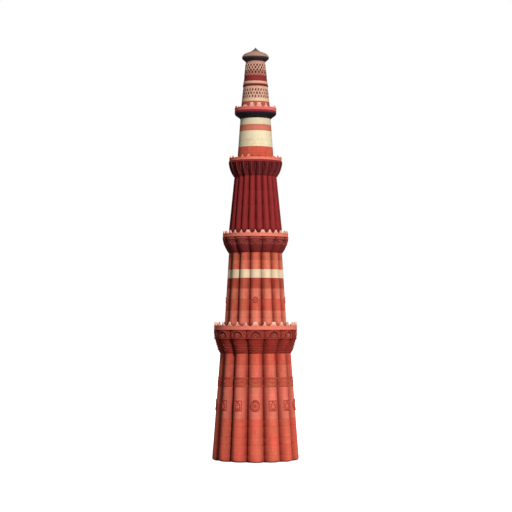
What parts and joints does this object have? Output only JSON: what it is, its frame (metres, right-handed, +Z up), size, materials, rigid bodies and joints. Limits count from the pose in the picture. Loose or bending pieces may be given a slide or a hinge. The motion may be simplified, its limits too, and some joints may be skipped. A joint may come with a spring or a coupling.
{
  "type": "fluted minaret tower, half-scale model",
  "caption": "Tapering masonry minaret with fluted lower storeys, round banded upper storeys, corbelled balconies with merlons and a small cap.",
  "frame": {"origin": "centre of the foot, on the ground", "axes": "+Z up along the tower's axis, -Y towards the front, +X to the right seen from the front"},
  "size_m": [7.5366, 7.6542, 36.25],
  "materials": {
    "salmon_sandstone": "dressed ashlar, weathered",
    "light_salmon_sandstone": "dressed ashlar",
    "dark_red_sandstone": "carved, weathered",
    "crimson_sandstone": "dressed ashlar",
    "dark_crimson_sandstone": "carved",
    "red_sandstone": "dressed ashlar",
    "cream_marble": "honed marble",
    "floor_stone": "worn paving stone",
    "slate_moulding": "dark moulded stone",
    "red_parapet": "dressed ashlar",
    "carved_lattice": "carved in low relief",
    "brown_roof": "weathered stone"
  },
  "bodies": {
    "root": {"ground_floor": "floor_stone", "storey_1_wall_front": "salmon_sandstone", "storey_1_wall_right": "salmon_sandstone", "storey_1_wall_left": "salmon_sandstone", "storey_1_over_door": "salmon_sandstone", "corbel_1_cup": "dark_red_sandstone", "corbel_1_frieze": "dark_red_sandstone", "balcony_1_floor": "floor_stone", "balcony_1_parapet": "light_salmon_sandstone", "storey_2_wall_front": "salmon_sandstone", "storey_2_wall_right": "salmon_sandstone", "storey_2_wall_left": "salmon_sandstone", "storey_2_over_door": "salmon_sandstone", "storey_2_marble_band": "cream_marble", "storey_2_upper_wall": "salmon_sandstone", "corbel_2_cup": "dark_red_sandstone", "corbel_2_frieze": "dark_red_sandstone", "balcony_2_floor": "floor_stone", "balcony_2_parapet": "light_salmon_sandstone", "storey_3_wall_front": "crimson_sandstone", "storey_3_wall_right": "crimson_sandstone", "storey_3_wall_left": "crimson_sandstone", "storey_3_over_door": "crimson_sandstone", "corbel_3": "dark_crimson_sandstone", "balcony_3_floor": "floor_stone", "balcony_3_parapet": "light_salmon_sandstone", "storey_4_base": "red_sandstone", "storey_4_over_door": "red_sandstone", "storey_4_lower_marble": "cream_marble", "storey_4_salmon_band": "salmon_sandstone", "storey_4_upper_marble": "cream_marble", "corbel_4_moulding": "slate_moulding", "balcony_4_floor": "floor_stone", "balcony_4_parapet": "red_parapet", "storey_5_base": "red_sandstone", "storey_5_over_door": "red_sandstone", "storey_5_marble_band": "cream_marble", "storey_5_lower_lattice": "carved_lattice", "storey_5_roll": "dark_red_sandstone", "storey_5_pale_band": "cream_marble", "storey_5_red_band": "crimson_sandstone", "storey_5_upper_lattice": "carved_lattice", "cap_eave": "slate_moulding", "cap_roof": "brown_roof", "finial": "brown_roof"}
  },
  "joints": []
}
